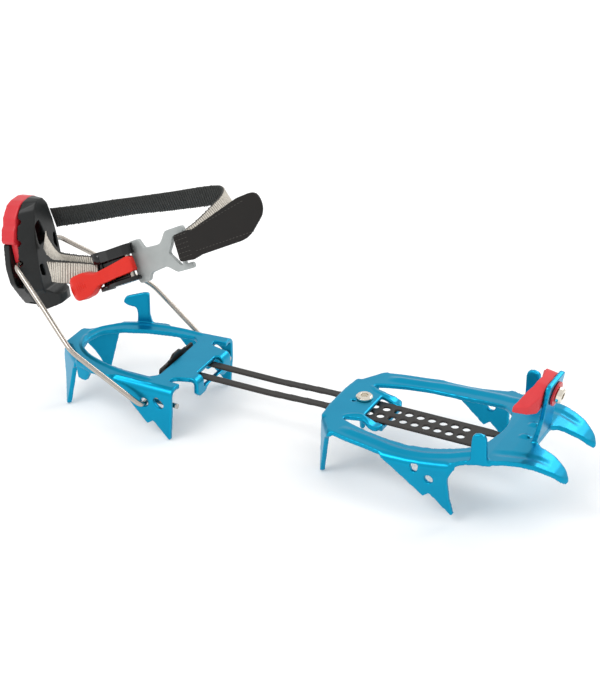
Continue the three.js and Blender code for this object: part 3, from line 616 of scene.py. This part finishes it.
def bailWire():
    # one half from its end in the side plate to the rear, then its mirror image back
    whole = [(x - heelEdge, y, z) for x, y, z in wireLook["half"]]
    whole += [(x, -y, z) for x, y, z in reversed(whole)]
    path = smoothPath(whole, wireLook["step"])
    mesh = sweptTube("bailWireMesh", path, wireLook["radius"], wireLook["sides"], drawnWire)
    newPiece("bailWire", mesh, "bail", "stainless_wire", "bail_wire")


bailWire()
print("bail ready")

# ---- heel lever ----

leverLook = {"voxel": 0.42, "rounds": 5}
newPiece("leverBody", moulded("lever_body", leverLook, blackNylon), "lever", "lever_black", "lever_body")
newPiece("leverCover", moulded("lever_cover", leverLook, blackNylon), "lever", "cover_black", "lever_cover")
newPiece("heightAdjuster", moulded("height_adjuster", leverLook, crimsonNylon), "adjuster", "adjuster_red",
         "height_adjuster")

# ---- buckle ----

buckleLook = {
    "voxel": 0.3,
    "rounds": 4,
    "centre": (-39 - heelEdge, -31, 108.6),
    "along": (0.875, 0, 0.485),
    "across": (-0.465, 0.278, 0.842),
    "camPivot": (14, -1, 5.6),
    "camTurn": (3, 6),
    "barrel": {"x": -8.4, "z": 4.4, "radius": 4.6, "sides": 36, "ends": ((5.2, 12), (-12, -9))},
}
camLook = {"voxel": 0.36, "rounds": 26}
knurlLook = {
    "pitch": 1.5,
    "first": -42.6,
    "count": 8,
    "middle": -37.6,
    "radius": 6.2,
    "across": -0.6,
    "heights": ((-44, -42, -38, -33), (6.2, 7.0, 7.4, 6.9)),
    "share": 0.85,
    "leastSquare": 4,
    "size": (1.1, 0.55, 1),
    "spread": 0.02,
    "seed": 2,
}
tabLook = {
    "voxel": 0.4,
    "rounds": 3,
    "faces": (2.62, 4.78),
    "block": {"first": (53, -7.6), "pitch": (2.5, 2.7), "columns": 4, "rows": 6},
    "edging": {"first": 66, "pitch": 2.6, "count": 17, "edges": (-7.4, 7.2), "inset": 0.86, "slope": 0.15,
               "reach": 0.9},
}
hookLook = {"voxel": 0.36, "rounds": 4}
stitchLook = {"size": (0.22, 0.26, 0.95), "spread": 0.06, "seed": 4}


def buckleAxes():
    along = Vector(buckleLook["along"]).normalized()
    outward = along.cross(Vector(buckleLook["across"])).normalized()
    return along, outward.cross(along), outward


def buckleSpot(x, y, z):
    # mm in the buckle's own frame: along the strap, across it, outward
    along, across, outward = buckleAxes()
    return Vector(buckleLook["centre"]) + along * x + across * y + outward * z


def camFrame():
    # where the cam lever's own frame lies in the buckle's
    lean, swing = (math.radians(angle) for angle in buckleLook["camTurn"])
    return Matrix.Rotation(lean, 3, "Y") @ Matrix.Rotation(swing, 3, "Z")


def camSpot(x, y, z):
    return buckleSpot(*(Vector(buckleLook["camPivot"]) + camFrame() @ Vector((x, y, z))))


def camAxis(x, y, z):
    along, across, outward = buckleAxes()
    turned = camFrame() @ Vector((x, y, z))
    return along * turned.x + across * turned.y + outward * turned.z


def buckleBody():
    look = buckleLook["barrel"]
    parts = [moulded("buckle_body", buckleLook, glossyNylon)]
    for near, far in look["ends"]:
        ends = [buckleSpot(look["x"], y, look["z"]) for y in (near, far)]
        parts.append(sweptTube("barrel", ends, look["radius"], look["sides"], glossyNylon))
    newPiece("buckleBody", joinedMesh("buckleBodyMesh", parts), "lever", "buckle_black", "buckle_body")


def camLever():
    # the arm with its knob, ribbed across for the fingers
    mesh = moulded("cam_lever", camLook, redNylon)
    axes = (camAxis(0, 0, 1), camAxis(1, 0, 0), camAxis(0, 1, 0))
    spots = []
    for i in range(knurlLook["count"]):
        x = knurlLook["first"] + i * knurlLook["pitch"]
        square = knurlLook["radius"] ** 2 - (x - knurlLook["middle"]) ** 2
        reach = math.sqrt(max(square, knurlLook["leastSquare"]))
        height = float(np.interp(x, *knurlLook["heights"]))
        spots.append((camSpot(x, knurlLook["across"], height), axes, reach * knurlLook["share"]))
    knurls = repeated("camKnurls", stitchTree, spots, knurlLook, redNylon)
    newPiece("camLever", joinedMesh("camLeverMesh", [mesh, knurls]), "cam", "cam_red", "cam_lever")


def pullTab():
    # coated tape, sewn to the link with a block of stitches and edged with a row on each side
    mesh = moulded("pull_tab", tabLook, blackTape)
    along, across, outward = buckleAxes()
    axes = (across, outward, along)
    block, edging = tabLook["block"], tabLook["edging"]
    spots = []
    for face in tabLook["faces"]:
        for row in range(block["rows"]):
            for step in range(block["columns"]):
                x = block["first"][0] + step * block["pitch"][0]
                y = block["first"][1] + row * block["pitch"][1]
                spots.append((buckleSpot(x, y, face), axes, 1.0))
        for step in range(edging["count"]):
            for edge in edging["edges"]:
                x = edging["first"] + step * edging["pitch"]
                slope = (x - edging["first"]) * edging["slope"] if edge > 0 else 0
                spots.append((buckleSpot(x, edge * edging["inset"] + slope, face), axes, edging["reach"]))
    sewn = repeated("pullTabStitches", stitchTree, spots, stitchLook, threadBlack)
    newPiece("pullTab", joinedMesh("pullTabMesh", [mesh, sewn]), "lever", "pull_tab_black", "pull_tab")


buckleBody()
camLever()
pullTab()
newPiece("buckleLink", moulded("buckle_link", hookLook, greyAcetal), "lever", "link_grey", "buckle_link")

# ---- toe stop ----

bumperLook = {"voxel": 0.4, "rounds": 8}
newPiece("toeBumper", moulded("toe_bumper", bumperLook, coralRubber), "toe", "bumper_coral", "toe_bumper")
print("mouldings ready")


# ---- webbing ----

webLook = {
    "width": 13.5,
    "thick": 0.7,
    "coreTrim": 0.4,
    "selvedge": 0.55,
    "step": 1.0,
    "turnStep": 0.004,
    "ribPitch": 1.75,
    "size": (0.45, 0.7, 1),
    "spread": 0.03,
    "seed": 7,
}
farRun = {
    "path": [(-119, 21.6, 102.7), (-95, 24.4, 110), (-72, 27, 117.6), (-35, 29.6, 129), (-6, 30.6, 138.6),
             (6, 27.4, 142), (11.6, 18, 142), (11.6, 2, 139.6), (9.8, -14, 136.2), (6.4, -24, 133.2)],
    "across": [(-0.3, -0.1, 0.95), (-0.3, -0.15, 0.94), (-0.3, -0.25, 0.92), (-0.45, -0.3, 0.84),
               (-0.62, 0, 0.78), (-0.6, 0.1, 0.79), (-0.5, 0.25, 0.83)],
}
heelRun = {
    "path": [(-107.6, -6.6, 101), (-101, -13, 100.4), (-88, -20.6, 100), (-70, -26, 101.6),
             (-53.4, -29.6, 104)],
    "across": [(-0.15, 0.35, 0.92), (0.2, -0.45, 0.87), (0.2, -0.55, 0.8), (-0.465, 0.278, 0.842)],
}
# the tail's side view in the buckle's own frame, and how it drifts across as it goes
tailLoop = {
    "side": [(-13.9, 1.8), (-28, 2), (-43, 2.1), (-47.4, 2.6), (-48.6, 4.4), (-47, 6.7), (-44, 7.4),
             (-39, 7.6), (-34.6, 6.6), (-30, 4.9), (-24, 4.3), (-14, 4.2)],
    "start": 13,
    "drift": -0.34,
    "shift": -1,
}


def bandMesh(name, path, wides, width, outside, inside):
    # the flat core of a strap, its colours painted darker than the ribs as painted shade in the grooves
    # between them; the outside face is on the side the two directions cross to
    half, lift = width / 2, webLook["thick"] / 2
    ring = [(-half, lift), (half, lift), (half, -lift), (-half, -lift)]
    verts = []
    for place, axes in frames(path, wides):
        verts += [(place + axes[2] * v + axes[0] * n) * mm for v, n in ring]
    faces, kinds = [], []
    for i in range(len(path) - 1):
        for k in range(4):
            m = (k + 1) % 4
            faces.append((i * 4 + k, (i + 1) * 4 + k, (i + 1) * 4 + m, i * 4 + m))
            kinds.append(0 if k == 0 else 1)
    last = (len(path) - 1) * 4
    faces += [(0, 1, 2, 3), (last + 3, last + 2, last + 1, last)]
    kinds += [1, 1]
    mesh = bpy.data.meshes.new(name)
    mesh.from_pydata(verts, [], faces)
    mesh.materials.append(outside)
    mesh.materials.append(inside)
    mesh.polygons.foreach_set("material_index", kinds)
    fixNormals(mesh)
    return mesh


def frames(path, wides):
    # along the path: each place with its outward, forward and crosswise directions
    spots = np.linspace(0, len(wides) - 1, len(path))
    made = []
    for i, point in enumerate(path):
        ahead = Vector(path[min(i + 1, len(path) - 1)]) - Vector(path[max(i - 1, 0)])
        ahead.normalize()
        wide = Vector([np.interp(spots[i], np.arange(len(wides)), wides[:, k]) for k in range(3)])
        wide = (wide - ahead * wide.dot(ahead)).normalized()
        made.append((Vector(point), (ahead.cross(wide), ahead, wide)))
    return made


def webbing(name, points, across, outside, inside):
    # a core, painted darker than its ribs as painted shade in the grooves, with a row of weft ribs on each
    # face; grey ribs stop short of the black selvedge
    yarns = {"black": (blackCorePaintedShade, blackYarn), "grey": (greyCorePaintedShade, greyYarn)}
    wides = smoothPath(across, webLook["turnStep"])
    path = smoothPath(points, webLook["step"])
    width = webLook["width"] - webLook["coreTrim"]
    parts = [bandMesh(name + "Core", path, wides, width, yarns[outside][0], yarns[inside][0])]
    ribPath = smoothPath(points, webLook["ribPitch"])
    for tone, side in ((outside, 1), (inside, -1)):
        reach = webLook["width"] / 2 - (webLook["selvedge"] if tone == "grey" else 0)
        spots = []
        for place, axes in frames(ribPath, wides):
            spots.append((place + axes[0] * (side * webLook["thick"] / 2), axes, reach))
        parts.append(repeated(name + "Ribs", ribTree, spots, webLook, yarns[tone][1]))
    return joinedMesh(name + "Mesh", parts)


def ankleStrap():
    far = [(x - heelEdge, y, z) for x, y, z in farRun["path"]]
    mesh = webbing("strapFar", far, farRun["across"], "black", "grey")
    newPiece("strapFarRun", mesh, "lever", "two_tone_webbing_far", "strap_far_run")
    near = [(x - heelEdge, y, z) for x, y, z in heelRun["path"]]
    mesh = webbing("strapHeel", near, heelRun["across"], "grey", "black")
    newPiece("strapHeelRun", mesh, "lever", "two_tone_webbing_near", "strap_heel_run")
    loop = []
    for x, z in tailLoop["side"]:
        y = (x + tailLoop["start"]) * tailLoop["drift"] + tailLoop["shift"]
        loop.append(tuple(buckleSpot(x, y, z)))
    across = tuple(buckleAxes()[1])
    mesh = webbing("strapTail", loop, [across, across], "grey", "black")
    newPiece("strapTailLoop", mesh, "lever", "tail_webbing_grey", "strap_tail_loop")


ankleStrap()
print("webbing ready")

# ---- screws, washer and rivets ----

smallLook = {"voxel": 0.16, "rounds": 2}
for node, body, slot, material in (
    ("lock_screw", "toe", "lock_screw_steel", plating),
    ("stop_screw", "toe", "stop_screw_steel", plating),
    ("stop_washer", "toe", "stop_washer_red", crimsonNylon),
    ("lever_rivet_left", "lever", "rivet_left_steel", drawnWire),
    ("lever_rivet_right", "lever", "rivet_right_steel", drawnWire),
):
    newPiece(node.title().replace("_", ""), moulded(node, smallLook, material), body, slot, node)

# ---- carried-over nodes ----

for node, material in {
    "cam_pin": drawnWire,
    "lock_washer": springSteel,
    "lock_nut": plating,
    "stop_nut": plating,
}.items():
    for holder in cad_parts[node].material_slots:
        holder.material = material

print("all pieces ready")
